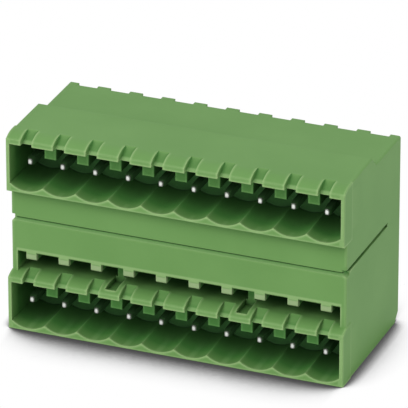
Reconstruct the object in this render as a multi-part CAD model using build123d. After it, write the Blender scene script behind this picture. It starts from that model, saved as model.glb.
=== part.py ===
from build123d import *
import math
import os

os.makedirs("parts", exist_ok=True)

# Two-level header for pluggable terminals: ten contacts side by side on each level.
# X runs along the row of contacts, Y from the plug side to the back, Z up from the board.
# The origin is the middle of the face that sits on the board.

# Contact grid
poles = 10
pitch = 5.08
level_spacing = 22.2
contact_below_deck = 4.45
end_margin = 3.19

# Plug sockets, the same on both levels
deck_height = 9.0
socket_depth = 8.8
back_wall = 1.6
end_wall = 0.55
roof_thickness = 1.45
floor_thinnest = 0.42
hollow_depth = 0.9
collar_depth = 3.3
lip_run = 2.4
lip_drop = 0.7
collar_edge = 0.15

# Guide notches over the contacts and coding ribs between them
notch_width = 1.75
notch_through = 0.8
notch_run = 2.9
coding_rib_width = 1.85
coding_rib_height = 2.9
coding_rib_setback = 2.9
coding_rib_edge = 0.15

# Body behind and between the sockets
depth = 23.6
setback = 1.45
side_relief = 0.12
front_wall = 1.3
seam_height = 17.4
rear_deck_start = 11.5
rear_deck_drop = 1.6
socket_floor_extra = 1.0

# Slot over the lower socket, with a short rib over each contact
slot_height = 3.0
slot_end_wall = 0.9
slot_roof = 1.2
slot_rib_width = 1.6
slot_rib_height = 1.1
slot_edge = 0.2

# Two pockets in the lower deck, after the third and the seventh contact,
# each with a post behind it that props the roof of the slot
pocket_places = (2, 6)
pocket_width = 1.7
pocket_start = 0.8
pocket_run = 4.0
pocket_depth = 0.8
post_width = 1.0

# Open channels at the back, one for each pair of contacts
rib_thickness = 2.0
rib_overhang = 0.75
guide_plate_lift = 0.5
guide_plate_thickness = 1.2
guide_plate_start = 11.0
guide_slot_clearance = 0.05
heel_chamfer = 1.4

# Seam between the two housings
front_gap = 0.25
front_gap_depth = 0.5
front_chamfer = 0.35
side_groove_height = 0.6
side_groove_depth = 0.65
side_groove_end = 18.4
corner_notch = 0.65
corner_notch_run = 1.3
peg_radius = 0.5
peg_height = 1.2
peg_clearance = 0.05
peg_end_gap = 0.2
peg_places = (6.0, 16.5)

# Contact pins of square wire
pin_size = 1.0
pin_tip_setback = 1.4
pin_tip_length = 0.6
pin_side_taper = 0.22
pin_flat_taper = 0.1
pin_bend_radius = 0.5
solder_length = 3.5
lower_leg = 13.6
upper_leg = 20.6

# Rounding of the body's upright and top edges
corner_radius = 0.3

# How far an added shape reaches into what carries it, how far a cut runs past a face,
# and how near an edge lies to the place where it is looked for
bite = 0.2
beyond = 1.0
same_place = 0.01

# Derived places
width = (poles - 1) * pitch + 2 * end_margin
body_width = width - 2 * side_relief
rim_plane = -depth / 2
total_height = deck_height + level_spacing
upper_floor = level_spacing
contact_height = deck_height - contact_below_deck
channel_width = pitch - rib_thickness
roof_under = deck_height - roof_thickness
back_plane = socket_depth + back_wall


def pole_x(pole):
    """Centre line of a contact, counted from the left."""
    return (pole - (poles - 1) / 2) * pitch


def boundary_x(index):
    """Middle of the wall between two neighbouring contacts."""
    return pole_x(index) + pitch / 2


def side_face(*edges):
    """A closed outline drawn looking along X: first number back from the rim, second up."""
    return Plane.YZ * Pos(rim_plane, 0) * make_face(Curve() + list(edges))


def prism(outline, across, centre=0.0):
    """The outline as a bar along X, centred on a place in the row."""
    return Pos(centre, 0, 0) * extrude(outline, across / 2, both=True)


def polygon(*corners):
    """A straight-sided outline in the side view."""
    return side_face(Polyline(*corners, close=True))


def lip_arc(deck):
    """The deck rolls down to the front lip along one arc, level where it meets the deck."""
    radius = (lip_run**2 + lip_drop**2) / (2 * lip_drop)
    middle = lip_run / 2
    sag = radius - math.sqrt(radius**2 - (lip_run - middle) ** 2)
    return ThreePointArc((0, deck - lip_drop), (middle, deck - sag), (lip_run, deck))


def collar(base):
    """The band round a socket mouth: a rolled lip on top, and a small round on all its front edges."""
    deck = base + deck_height
    rest = Polyline(
        (lip_run, deck), (collar_depth, deck), (collar_depth, base), (0, base), (0, deck - lip_drop)
    )
    band = prism(side_face(lip_arc(deck), rest), width)
    front = ShapeList(e for e in band.edges() if e.center().Y < rim_plane + lip_run / 2 + same_place)
    return fillet(front, collar_edge)


def socket_hollow(base):
    """The space a plug fills: a flat roof, and a floor with one round hollow for each contact."""
    radius = ((pitch / 2) ** 2 + hollow_depth**2) / (2 * hollow_depth)
    inner = width - 2 * end_wall
    ridge = floor_thinnest + hollow_depth
    room = Pos(0, (ridge + roof_under) / 2) * Rectangle(inner, roof_under - ridge)
    trough = Pos(0, (ridge + floor_thinnest) / 2) * Rectangle(inner, hollow_depth)
    rounds = Sketch() + [
        Pos(pole_x(i), floor_thinnest + radius) * Circle(radius) for i in range(poles)
    ]
    outline = room + (trough & rounds)
    start = Plane(origin=(0, rim_plane - beyond, base), x_dir=(1, 0, 0), z_dir=(0, -1, 0))
    return extrude(start * outline, -(socket_depth + beyond))


def guide_notches(base):
    """Cuts through the lip over each contact, ramping up to the deck behind it."""
    deck = base + deck_height
    under = base + roof_under
    ramp = polygon(
        (-beyond, under - bite), (notch_through, under - bite), (notch_through, under),
        (notch_run, deck), (notch_run, deck + beyond), (-beyond, deck + beyond),
    )
    return [prism(ramp, notch_width, pole_x(i)) for i in range(poles)]


def coding_ribs(base):
    """Ribs that hang from the roof between the contacts and key the plug."""
    top = base + roof_under + bite
    bottom = base + roof_under - coding_rib_height
    side = polygon(
        (coding_rib_setback, bottom), (socket_depth + bite, bottom),
        (socket_depth + bite, top), (coding_rib_setback, top),
    )
    rib = prism(side, coding_rib_width)
    face = rim_plane + coding_rib_setback
    front = edges_along(rib, Axis.Z, Y=face) + edges_along(rib, Axis.X, Y=face, Z=bottom)
    rib = fillet(front, coding_rib_edge)
    return [Pos(boundary_x(i), 0, 0) * rib for i in range(poles - 1)]


def edges_along(part, axis, **places):
    """Edges parallel to an axis whose middle lies at the given places."""
    found = part.edges().filter_by(axis)
    for name, place in places.items():
        found = [e for e in found if abs(getattr(e.center(), name) - place) < same_place]
    return ShapeList(found)


def front_corners(part):
    """The two upright edges at the front of the body."""
    front = rim_plane + setback
    return edges_along(part, Axis.Z, X=body_width / 2, Y=front) + edges_along(
        part, Axis.Z, X=-body_width / 2, Y=front
    )


def peg_spots():
    """The pegs stand on the second wall in from each end."""
    return [(x, rim_plane + y) for x in (boundary_x(0), boundary_x(poles - 2)) for y in peg_places]


def make_lower_housing():
    """The half on the board: lower socket, slot over it, and the comb of walls behind."""
    slot_top = deck_height + slot_height
    body = prism(
        polygon(
            (setback, 0), (depth - heel_chamfer, 0), (depth, heel_chamfer), (depth, seam_height),
            (setback + front_chamfer, seam_height), (setback, seam_height - front_chamfer),
        ),
        body_width,
    )
    slot_rest = Polyline(
        (lip_run, deck_height), (socket_depth, deck_height), (socket_depth, slot_top),
        (setback + slot_edge, slot_top), (setback, slot_top + slot_edge),
        (-beyond, slot_top + slot_edge), (-beyond, deck_height - lip_drop), (0, deck_height - lip_drop),
    )
    body -= prism(side_face(lip_arc(deck_height), slot_rest), body_width - 2 * slot_end_wall)
    rib_foot = slot_top - slot_rib_height
    rib_root = slot_top + slot_edge + bite
    slot_rib = polygon(
        (setback + slot_edge, rib_foot), (socket_depth + bite, rib_foot), (socket_depth + bite, rib_root),
        (setback, rib_root), (setback, rib_foot + slot_edge),
    )
    body += [prism(slot_rib, slot_rib_width, pole_x(i)) for i in range(poles)]
    body = fillet(front_corners(body), corner_radius)

    core_floor = slot_top + slot_roof
    plate_top = guide_plate_lift + guide_plate_thickness
    plate_end = depth - rib_overhang
    channel = polygon(
        (setback + front_wall, seam_height + beyond), (setback + front_wall, core_floor),
        (back_plane, core_floor), (back_plane, plate_top), (plate_end, plate_top),
        (plate_end, -beyond), (depth + beyond, -beyond), (depth + beyond, seam_height + beyond),
    )
    relief = polygon(
        (guide_plate_start, -beyond), (plate_end, -beyond),
        (plate_end, guide_plate_lift), (guide_plate_start, guide_plate_lift),
    )
    slot_start = lower_leg - pin_size / 2
    guide_slot = polygon(
        (slot_start, 0), (depth, 0), (depth, plate_top + beyond), (slot_start, plate_top + beyond)
    )
    guide_width = pin_size + 2 * guide_slot_clearance
    for i in range(poles):
        body -= prism(channel, channel_width, pole_x(i))
        body -= prism(relief, channel_width, pole_x(i))
        body -= prism(guide_slot, guide_width, pole_x(i))

    body += collar(0)
    body -= socket_hollow(0)
    body -= guide_notches(0)
    body += coding_ribs(0)

    pocket_end = pocket_start + pocket_run
    pocket_floor = deck_height - pocket_depth
    pocket = polygon(
        (pocket_start, pocket_floor), (pocket_end, pocket_floor),
        (pocket_end, deck_height + bite), (pocket_start, deck_height + bite),
    )
    post = polygon(
        (pocket_end, deck_height - bite), (socket_depth + bite, deck_height - bite),
        (socket_depth + bite, slot_top + bite), (pocket_end, slot_top + bite),
    )
    for index in pocket_places:
        body -= prism(pocket, pocket_width, boundary_x(index))
        body += prism(post, post_width, boundary_x(index))

    notch_side = corner_notch * math.sqrt(2)
    wedge = Rot(0, 45, 0) * Box(notch_side, 2 * corner_notch_run, notch_side)
    for side in (-1, 1):
        body -= Pos(side * body_width / 2, rim_plane + setback, seam_height) * wedge
    for x, y in peg_spots():
        body += Pos(x, y, seam_height) * Cylinder(
            peg_radius, peg_height - peg_end_gap, align=(Align.CENTER, Align.CENTER, Align.MIN)
        )
    return drill_pin_holes(body, contact_height)


def make_upper_housing():
    """The half on top: upper socket, rear deck one step down, and the same comb behind."""
    rear_deck = total_height - rear_deck_drop
    tuck = collar_depth - bite
    body = prism(
        polygon(
            (setback, seam_height), (setback, upper_floor + floor_thinnest),
            (tuck, upper_floor + floor_thinnest), (tuck, total_height),
            (rear_deck_start, total_height), (rear_deck_start + rear_deck_drop, rear_deck),
            (depth, rear_deck), (depth, seam_height),
        ),
        body_width,
    )
    top_edges = edges_along(body, Axis.Y, Z=total_height) + edges_along(body, Axis.Y, Z=rear_deck)
    body = fillet(front_corners(body) + top_edges, corner_radius)

    plate_end = depth - rib_overhang
    ceiling = rear_deck - roof_thickness
    core_top = upper_floor - socket_floor_extra
    channel = polygon(
        (setback + front_wall, seam_height - beyond), (setback + front_wall, core_top),
        (back_plane, core_top), (back_plane, ceiling), (plate_end, ceiling),
        (plate_end, total_height + beyond), (depth + beyond, total_height + beyond),
        (depth + beyond, seam_height - beyond),
    )
    for i in range(poles):
        body -= prism(channel, channel_width, pole_x(i))

    body += collar(upper_floor)
    body -= socket_hollow(upper_floor)
    body -= guide_notches(upper_floor)
    body += coding_ribs(upper_floor)

    front_rebate = polygon(
        (setback - beyond, seam_height - beyond), (setback + front_gap_depth, seam_height - beyond),
        (setback + front_gap_depth, seam_height + front_gap), (setback - beyond, seam_height + front_gap),
    )
    body -= prism(front_rebate, width)
    side_groove = polygon(
        (setback - beyond, seam_height - beyond), (side_groove_end, seam_height - beyond),
        (side_groove_end, seam_height + side_groove_height),
        (setback - beyond, seam_height + side_groove_height),
    )
    for side in (-1, 1):
        body -= prism(side_groove, 2 * side_groove_depth, side * body_width / 2)
    for x, y in peg_spots():
        body -= Pos(x, y, seam_height) * Cylinder(
            peg_radius + peg_clearance, peg_height, align=(Align.CENTER, Align.CENTER, Align.MIN)
        )
    return drill_pin_holes(body, upper_floor + contact_height)


def drill_pin_holes(body, height):
    """Square holes through the back wall, a press fit on the contacts."""
    hole_y = rim_plane + socket_depth + back_wall / 2
    for i in range(poles):
        body -= Pos(pole_x(i), hole_y, height) * Box(pin_size, back_wall + bite, pin_size)
    return body


def coined_tip(foot):
    """The end of the wire, pressed narrower from both sides and a little flatter."""
    flat = Rectangle(pin_size - 2 * pin_side_taper, pin_size - 2 * pin_flat_taper)
    return loft([foot * Rectangle(pin_size, pin_size), foot * Pos(0, 0, pin_tip_length) * flat])


def make_pin(pole, height, leg):
    """Square wire bent once: a contact in the socket and a leg down through the board."""
    start = (pole_x(pole), rim_plane + pin_tip_setback + pin_tip_length, height)
    corner = (pole_x(pole), rim_plane + leg, height)
    end = (pole_x(pole), rim_plane + leg, pin_tip_length - solder_length)
    route = FilletPolyline(start, corner, end, radius=pin_bend_radius + pin_size / 2)
    section = Plane(origin=start, x_dir=(1, 0, 0), z_dir=(0, 1, 0)) * Rectangle(pin_size, pin_size)
    contact_tip = coined_tip(Plane(origin=start, x_dir=(1, 0, 0), z_dir=(0, -1, 0)))
    solder_tip = coined_tip(Plane(origin=end, x_dir=(1, 0, 0), z_dir=(0, 0, -1)))
    return sweep(section, path=route) + contact_tip + solder_tip


lower_housing = make_lower_housing()
upper_housing = make_upper_housing()
export_step(lower_housing, "parts/lower_housing.step")
export_step(upper_housing, "parts/upper_housing.step")

for pole in range(poles):
    lower_pin = make_pin(pole, contact_height, lower_leg)
    upper_pin = make_pin(pole, upper_floor + contact_height, upper_leg)
    export_step(lower_pin, f"parts/lower_contact_{pole + 1}.step")
    export_step(upper_pin, f"parts/upper_contact_{pole + 1}.step")
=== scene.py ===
import math

import bpy
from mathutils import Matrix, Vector

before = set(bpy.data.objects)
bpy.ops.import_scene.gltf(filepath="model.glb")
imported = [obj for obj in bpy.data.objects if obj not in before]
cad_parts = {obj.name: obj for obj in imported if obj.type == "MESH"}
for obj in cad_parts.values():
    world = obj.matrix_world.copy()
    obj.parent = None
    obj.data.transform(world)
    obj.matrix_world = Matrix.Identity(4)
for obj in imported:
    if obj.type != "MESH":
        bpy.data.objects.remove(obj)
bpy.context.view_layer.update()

# The view: a long lens from the plug side, above the board and to the right of the header,
# so that the front, the top and the right end show and their edges stay nearly parallel.
millimetre = 0.001
aim_point = Vector((-0.82, 2.14, 18.3)) * millimetre
view_turn = math.radians(21.61)
view_height = math.radians(25.59)
view_distance = 830.7 * millimetre
lens_length = 503.9
film_width = 36.0
nearest_seen = 0.1
farthest_seen = 20.0

camera_data = bpy.data.cameras.new("camera")
camera_data.lens = lens_length
camera_data.sensor_width = film_width
camera_data.clip_start = nearest_seen
camera_data.clip_end = farthest_seen
camera = bpy.data.objects.new("camera", camera_data)
bpy.context.scene.collection.objects.link(camera)
towards_camera = Vector((
    math.sin(view_turn) * math.cos(view_height),
    -math.cos(view_turn) * math.cos(view_height),
    math.sin(view_height),
))
camera.location = aim_point + view_distance * towards_camera
camera.rotation_euler = towards_camera.to_track_quat("Z", "Y").to_euler()
bpy.context.scene.camera = camera

# The two housings: lower and upper half of the header, injection moulded from green polyamide
# in a finely sparked mould, so the skin is even and satin, with a grain too fine to feel.
# Painted highlights make the edges and teeth of the plug side paler, and painted shade darkens
# the sockets, their back walls and narrow gaps.
housing_green = (0.160, 0.325, 0.098, 1.0)
housing_shade = (0.142, 0.300, 0.086, 1.0)
flow_scale = 90.0
flow_detail = 3.0
cloud_stops = (0.3, 0.7)
skin_roughness = 0.55
skin_specular = 0.16
polyamide_ior = 1.53
grain_scale = 5200.0
grain_detail = 2.0
grain_roughness = 0.6
grain_strength = 0.35
grain_height = 0.000012
probe_samples = 8

# A place on the header is held in by fades: the axis, where each starts and where it is full.
# Painted highlights: a paler green on the sharp front edges, and on bands under the seam, over
# the slot and on the end wall fronts.
edge_highlight_green = (0.400, 0.580, 0.260, 1.0)
edge_width = 0.00045
edge_openness = (0.97, 0.55)
edge_mix = 0.55
edge_radius = 0.00012
edge_fade = (-0.0090, -0.0050)
above_seam_fades = (("Z", 0.0174, 0.0175), ("Z", 0.0187, 0.0184))
painted_highlight_places = {
    "under_the_seam": {
        "mix": 0.25,
        "fades": (
            ("Z", 0.0169, 0.01705), ("Z", 0.01745, 0.01740), ("Y", -0.0085, -0.0090),
        ),
    },
    "over_the_slot": {
        "mix": 0.42,
        "fades": (
            ("Z", 0.01195, 0.0120), ("Z", 0.01270, 0.01250), ("Y", -0.0098, -0.0100),
            ("across", 0.0253, 0.0251),
        ),
    },
    "end_wall_fronts": {
        "mix": 0.25,
        "fades": (("across", 0.0252, 0.0254), ("Y", -0.0116, -0.01175)),
    },
}
# Painted highlight: the teeth that hang over the slot are paler.
teeth_highlight_green = (0.290, 0.410, 0.200, 1.0)
teeth_fades = (
    ("Z", 0.0107, 0.0109), ("Z", 0.0120, 0.0117), ("Y", -0.0096, -0.0098),
    ("across", 0.0250, 0.0246),
)
# Painted shade: the sockets are darker the more closed in the room around them is, less so on
# the lower deck.
recess_shade_reach = 0.011
recess_shade_steps = (
    (0.00, (0.22, 0.34, 0.27)), (0.20, (0.25, 0.38, 0.29)), (0.35, (0.50, 0.82, 0.58)),
    (0.60, (0.50, 0.79, 0.55)), (0.76, (0.40, 0.55, 0.38)), (0.94, (1.0, 1.0, 1.0)),
)
socket_fades = (
    ("Y", -0.0118, -0.0092), ("Y", -0.0020, -0.0029), ("across", 0.0259, 0.0255),
)
deck_shade_relief = 0.35
deck_fades = (("Z", 0.0080, 0.0083), ("Z", 0.0098, 0.0094), ("Y", -0.0056, -0.0084))
# Painted shade on the back walls of the sockets.
back_wall_painted_shade = (0.62, 0.66, 0.74, 1.0)
back_wall_fades = (
    ("Y", -0.0036, -0.00305), ("Y", -0.0020, -0.0029), ("Z", 0.0303, 0.0300),
    ("across", 0.0259, 0.0255),
)
# Painted shade in narrow gaps.
gap_shade_reach = 0.0008
gap_shade_steps = ((0.15, (0.20, 0.30, 0.20)), (0.50, (1.0, 1.0, 1.0)))


def add_node(tree, kind, **values):
    """A shader node with its input sockets set by name."""
    node = tree.nodes.new(kind)
    for name, value in values.items():
        node.inputs[name.replace("_", " ")].default_value = value
    return node


def calculate(tree, operation, first, second=None):
    """The result of one sum on one or two sockets or numbers."""
    sum_node = tree.nodes.new("ShaderNodeMath")
    sum_node.operation = operation
    for socket, value in zip(sum_node.inputs, (first, second)):
        if isinstance(value, float):
            socket.default_value = value
        elif value is not None:
            tree.links.new(value, socket)
    return sum_node.outputs["Value"]


def fade(tree, value, start, end, low=0.0, high=1.0):
    """A value that goes from low to high while another one goes from start to end."""
    ramp = add_node(
        tree, "ShaderNodeMapRange", From_Min=start, From_Max=end, To_Min=low, To_Max=high,
    )
    tree.links.new(value, ramp.inputs["Value"])
    return ramp.outputs["Result"]


def between(tree, amount, low, high):
    """A value that is low where the amount is nought and high where it is one."""
    return fade(tree, amount, 0.0, 1.0, low, high)


def ramp_of(tree, value, steps):
    """A colour ramp with a stop for each pair of position and colour."""
    ramp = tree.nodes.new("ShaderNodeValToRGB")
    stops = ramp.color_ramp.elements
    middle = 0.5
    while len(stops) < len(steps):
        stops.new(middle)
    for stop, (position, colour) in zip(stops, steps):
        stop.position = position
        stop.color = (*colour[:3], 1.0)
    tree.links.new(value, ramp.inputs["Fac"])
    return ramp.outputs["Color"]


def clouds_of(tree, place, scale, detail, shade, colour):
    """Soft patches of two colours, with the noise that they follow."""
    clouds = add_node(tree, "ShaderNodeTexNoise", Scale=scale, Detail=detail)
    tree.links.new(place, clouds.inputs["Vector"])
    patches = ramp_of(tree, clouds.outputs["Fac"], tuple(zip(cloud_stops, (shade, colour))))
    return patches, clouds.outputs["Fac"]


def blend(tree, amount, first, second, kind="MIX"):
    """Two colours, mixed or multiplied by an amount."""
    node = tree.nodes.new("ShaderNodeMix")
    node.data_type = "RGBA"
    node.blend_type = kind
    for name, value in (("Factor", amount), ("A", first), ("B", second)):
        if isinstance(value, (float, tuple)):
            node.inputs[name].default_value = value
        else:
            tree.links.new(value, node.inputs[name])
    return node.outputs["Result"]


def openness(tree, reach, inside=False):
    """How much of the space within reach is open, outside a surface or under it."""
    probe = add_node(tree, "ShaderNodeAmbientOcclusion", Distance=reach)
    probe.samples = probe_samples
    probe.inside = inside
    return probe.outputs["AO"]


def new_material(name):
    """An empty material with a principled shader on its output, and its object coordinates."""
    material = bpy.data.materials.new(name)
    material.use_nodes = True
    tree = material.node_tree
    tree.nodes.clear()
    output = tree.nodes.new("ShaderNodeOutputMaterial")
    shader = tree.nodes.new("ShaderNodeBsdfPrincipled")
    tree.links.new(shader.outputs["BSDF"], output.inputs["Surface"])
    place = tree.nodes.new("ShaderNodeTexCoord").outputs["Object"]
    return material, tree, shader, place


def coordinates(tree, place):
    """The distance from the middle of the row and the places along Y and Z, by name."""
    parts = tree.nodes.new("ShaderNodeSeparateXYZ")
    tree.links.new(place, parts.inputs["Vector"])
    across = calculate(tree, "ABSOLUTE", parts.outputs["X"])
    return {"across": across, "Y": parts.outputs["Y"], "Z": parts.outputs["Z"]}


def within(tree, place, fades):
    """One where every one of the fades has reached its end, nought where one hasn't begun."""
    named = coordinates(tree, place)
    amount = 1.0
    for name, start, end in fades:
        amount = calculate(tree, "MULTIPLY", amount, fade(tree, named[name], start, end))
    return amount


def bump_over(tree, shader, height, strength, distance, radius):
    """A fine relief on a surface whose sharp edges look rounded."""
    rounding = add_node(tree, "ShaderNodeBevel", Radius=radius)
    rounding.samples = probe_samples
    bump = add_node(tree, "ShaderNodeBump", Strength=strength, Distance=distance)
    tree.links.new(height, bump.inputs["Height"])
    tree.links.new(rounding.outputs["Normal"], bump.inputs["Normal"])
    tree.links.new(bump.outputs["Normal"], shader.inputs["Normal"])


def painted_edge_highlights(tree, place):
    """How much painted highlight the plastic gets: on sharp front edges and at the highlight
    places.
    """
    edge = fade(tree, openness(tree, edge_width, inside=True), *edge_openness, 0.0, edge_mix)
    front = fade(tree, coordinates(tree, place)["Y"], *edge_fade, 1.0, 0.0)
    plain = between(tree, within(tree, place, above_seam_fades), 1.0, 0.0)
    edge = calculate(tree, "MULTIPLY", calculate(tree, "MULTIPLY", edge, front), plain)
    for highlight in painted_highlight_places.values():
        painted_highlight = between(tree, within(tree, place, highlight["fades"]), 0.0, highlight["mix"])
        edge = calculate(tree, "MAXIMUM", edge, painted_highlight)
    return edge


def moulded_green():
    """Satin green plastic: flow clouds, painted highlights, painted shade and a spark-eroded
    grain.
    """
    material, tree, shader, place = new_material("moulded_green")
    shader.inputs["Roughness"].default_value = skin_roughness
    shader.inputs["IOR"].default_value = polyamide_ior
    shader.inputs["Specular IOR Level"].default_value = skin_specular
    colour, _ = clouds_of(tree, place, flow_scale, flow_detail, housing_shade, housing_green)
    # Painted highlight on the front edges and at the highlight places.
    colour = blend(tree, painted_edge_highlights(tree, place), colour, edge_highlight_green)

    # Painted shade in the sockets, eased on the lower deck.
    recess_shade = ramp_of(tree, openness(tree, recess_shade_reach), recess_shade_steps)
    shade_relief = between(tree, within(tree, place, deck_fades), 1.0, deck_shade_relief)
    shade_amount = calculate(tree, "MULTIPLY", within(tree, place, socket_fades), shade_relief)
    colour = blend(tree, shade_amount, colour, recess_shade, "MULTIPLY")
    # Painted shade on the back walls.
    back_wall = within(tree, place, back_wall_fades)
    colour = blend(tree, back_wall, colour, back_wall_painted_shade, "MULTIPLY")
    # Painted highlight on the teeth.
    colour = blend(tree, within(tree, place, teeth_fades), colour, teeth_highlight_green)
    # Painted shade in narrow gaps.
    gap_shade = ramp_of(tree, openness(tree, gap_shade_reach), gap_shade_steps)
    tree.links.new(blend(tree, 1.0, colour, gap_shade, "MULTIPLY"), shader.inputs["Base Color"])

    grain = add_node(
        tree, "ShaderNodeTexNoise", Scale=grain_scale, Detail=grain_detail,
        Roughness=grain_roughness,
    )
    tree.links.new(place, grain.inputs["Vector"])
    bump_over(tree, shader, grain.outputs["Fac"], grain_strength, grain_height, edge_radius)
    return material


green = moulded_green()
for name in ("lower_housing", "upper_housing"):
    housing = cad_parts[name]
    housing.data.materials.clear()
    housing.data.materials.append(green)

# The twenty contacts: square brass wire, bent once, coined at both ends and tin plated. Drawing
# the wire leaves fine lines along it, and the tin has soft cloudy patches that are a little
# duller. Its edges get painted shade, and inside the sockets the wire gets a painted
# reflection:
# the dark green of the walls, with little metal left.
tin_colour = (0.85, 0.87, 0.83, 1.0)
tin_shade = (0.73, 0.75, 0.71, 1.0)
tin_roughness = (0.28, 0.42)
cloud_scale = 700.0
cloud_detail = 2.0
# Painted shade on the edges of the wire, which keeps the bright tips small.
tin_edge_shade = (0.10, 0.12, 0.09, 1.0)
tin_edge_width = 0.00030
tin_edge_openness = (0.92, 0.62)
tin_edge_mix = 0.95
tin_edge_radius = 0.00010
# Painted reflection: inside the sockets the wire takes the dark green of the walls.
painted_wall_reflection = (0.030, 0.078, 0.026, 1.0)
metal_in_socket = 0.15
wire_fades = (("Y", -0.01036, -0.01016), ("Y", -0.0020, -0.0029))
wire_run = (1.0, 0.04, 0.04)
line_scale = 6000.0
line_detail = 1.0
line_strength = 0.4
line_height = 0.000006


def tinned_wire():
    """Semi-bright tin with drawing lines along the run of the wire, painted shade and
    reflection.
    """
    material, tree, shader, place = new_material("tin_plate")
    colour, patches = clouds_of(tree, place, cloud_scale, cloud_detail, tin_shade, tin_colour)
    # Painted shade on the edges of the wire.
    rim = openness(tree, tin_edge_width, inside=True)
    edge = fade(tree, rim, *tin_edge_openness, 0.0, tin_edge_mix)
    colour = blend(tree, edge, colour, tin_edge_shade)
    # Painted reflection of the socket walls on the wire.
    painted_reflection_amount = within(tree, place, wire_fades)
    tree.links.new(blend(tree, painted_reflection_amount, colour, painted_wall_reflection), shader.inputs["Base Color"])
    tree.links.new(between(tree, painted_reflection_amount, 1.0, metal_in_socket), shader.inputs["Metallic"])
    tree.links.new(between(tree, patches, *tin_roughness), shader.inputs["Roughness"])

    stretch = add_node(tree, "ShaderNodeMapping", Scale=wire_run)
    tree.links.new(place, stretch.inputs["Vector"])
    lines = add_node(tree, "ShaderNodeTexNoise", Scale=line_scale, Detail=line_detail)
    tree.links.new(stretch.outputs["Vector"], lines.inputs["Vector"])
    bump_over(tree, shader, lines.outputs["Fac"], line_strength, line_height, tin_edge_radius)
    return material


tin = tinned_wire()
for name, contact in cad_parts.items():
    if "contact" in name:
        contact.data.materials.clear()
        contact.data.materials.append(tin)

# The table: one wide sheet of matt white paper that runs on behind the header. To the camera
# it is pure white, with a painted shadow close to the foot of the housing, less so past its two
# ends. It lies a hair above the seat, so that from below the underside shows, not the sheet.
table_size = 6.0
table_height = 0.00002
table_grey = 0.70
# The painted shadow at the foot of the housing: how far it reaches, and its greys by how open
# the room is.
foot_samples = 32
foot_shadow_reach = 0.018
left_end = {"start": -0.025, "end": -0.028, "reach": 0.003, "lift": 0.12}
right_end = {"start": 0.025, "end": 0.028, "reach": 0.0150, "lift": 0.114}
foot_shadow_steps = (
    (0.53, 0.065), (0.583, 0.108), (0.622, 0.253), (0.646, 0.383), (0.668, 0.509),
    (0.701, 0.676), (0.730, 0.801), (0.776, 0.910), (0.860, 1.0),
)

bpy.ops.object.select_all(action="DESELECT")
bpy.ops.mesh.primitive_plane_add(size=table_size, location=(0.0, 0.0, table_height))
bpy.ops.object.transform_apply(location=True, rotation=False, scale=False)
table = bpy.context.object
table.name = "table"


def changed_at_ends(tree, along_row, name, usual, operation):
    """A value that is usual before the header and each end's own beyond its two ends."""
    changes = [
        fade(tree, along_row, end["start"], end["end"], usual, end[name])
        for end in (left_end, right_end)
    ]
    return calculate(tree, operation, *changes)


def painted_foot_shadow(tree):
    """White in the open, with a painted shadow where the foot of the housing closes off the
    room.
    """
    place = tree.nodes.new("ShaderNodeTexCoord").outputs["Object"]
    parts = tree.nodes.new("ShaderNodeSeparateXYZ")
    tree.links.new(place, parts.inputs["Vector"])
    along_row = parts.outputs["X"]
    reach = changed_at_ends(tree, along_row, "reach", foot_shadow_reach, "MINIMUM")
    lift = changed_at_ends(tree, along_row, "lift", 0.0, "MAXIMUM")
    room = tree.nodes.new("ShaderNodeAmbientOcclusion")
    room.samples = foot_samples
    tree.links.new(reach, room.inputs["Distance"])
    lifted = calculate(tree, "ADD", room.outputs["AO"], lift)
    return ramp_of(tree, lifted, [(stop, (grey, grey, grey)) for stop, grey in foot_shadow_steps])


def seen_or_mirrored(tree):
    """One for camera and glossy rays, nought for the light that falls on the header."""
    rays = tree.nodes.new("ShaderNodeLightPath").outputs
    return calculate(tree, "MAXIMUM", rays["Is Camera Ray"], rays["Is Glossy Ray"])


table_material = bpy.data.materials.new("table_white")
table_material.use_nodes = True
tree = table_material.node_tree
tree.nodes.clear()
output = tree.nodes.new("ShaderNodeOutputMaterial")
matte = add_node(tree, "ShaderNodeBsdfDiffuse", Color=(table_grey, table_grey, table_grey, 1.0))
paper = tree.nodes.new("ShaderNodeEmission")
# Painted shadow at the foot, in the white that the camera sees.
tree.links.new(painted_foot_shadow(tree), paper.inputs["Color"])
surface = tree.nodes.new("ShaderNodeMixShader")
tree.links.new(seen_or_mirrored(tree), surface.inputs["Fac"])
tree.links.new(matte.outputs["BSDF"], surface.inputs[1])
tree.links.new(paper.outputs["Emission"], surface.inputs[2])
tree.links.new(surface.outputs["Shader"], output.inputs["Surface"])
table.data.materials.append(table_material)

# The light: a large softbox high before the plug side and a little to its left, one over the
# right end, a weak low one that lifts the front walls, and a white room that is dim to
# everything but the camera and reflections.
room_light = 0.60
room_white = 1.0
softbox_size = 0.50
softboxes = {
    "key_box": {"place": (-0.28, -0.60, 0.62), "power": 3.4},
    "low_box": {"place": (-0.05, -0.90, 0.14), "power": 1.5},
    "right_box": {"place": (0.78, 0.16, 0.28), "power": 1.3},
}
for name, box in softboxes.items():
    light = bpy.data.lights.new(name, "AREA")
    light.shape = "SQUARE"
    light.size = softbox_size
    light.energy = box["power"]
    lamp = bpy.data.objects.new(name, light)
    bpy.context.scene.collection.objects.link(lamp)
    lamp.location = box["place"]
    lamp.rotation_euler = (Vector(box["place"]) - aim_point).to_track_quat("Z", "Y").to_euler()

world = bpy.data.worlds.new("white_room")
bpy.context.scene.world = world
world.use_nodes = True
tree = world.node_tree
tree.nodes.clear()
output = tree.nodes.new("ShaderNodeOutputWorld")
glow = add_node(tree, "ShaderNodeBackground", Color=(1.0, 1.0, 1.0, 1.0))
strength = between(tree, seen_or_mirrored(tree), room_light, room_white)
tree.links.new(strength, glow.inputs["Strength"])
tree.links.new(glow.outputs["Background"], output.inputs["Surface"])

bpy.context.scene.view_settings.view_transform = "Standard"
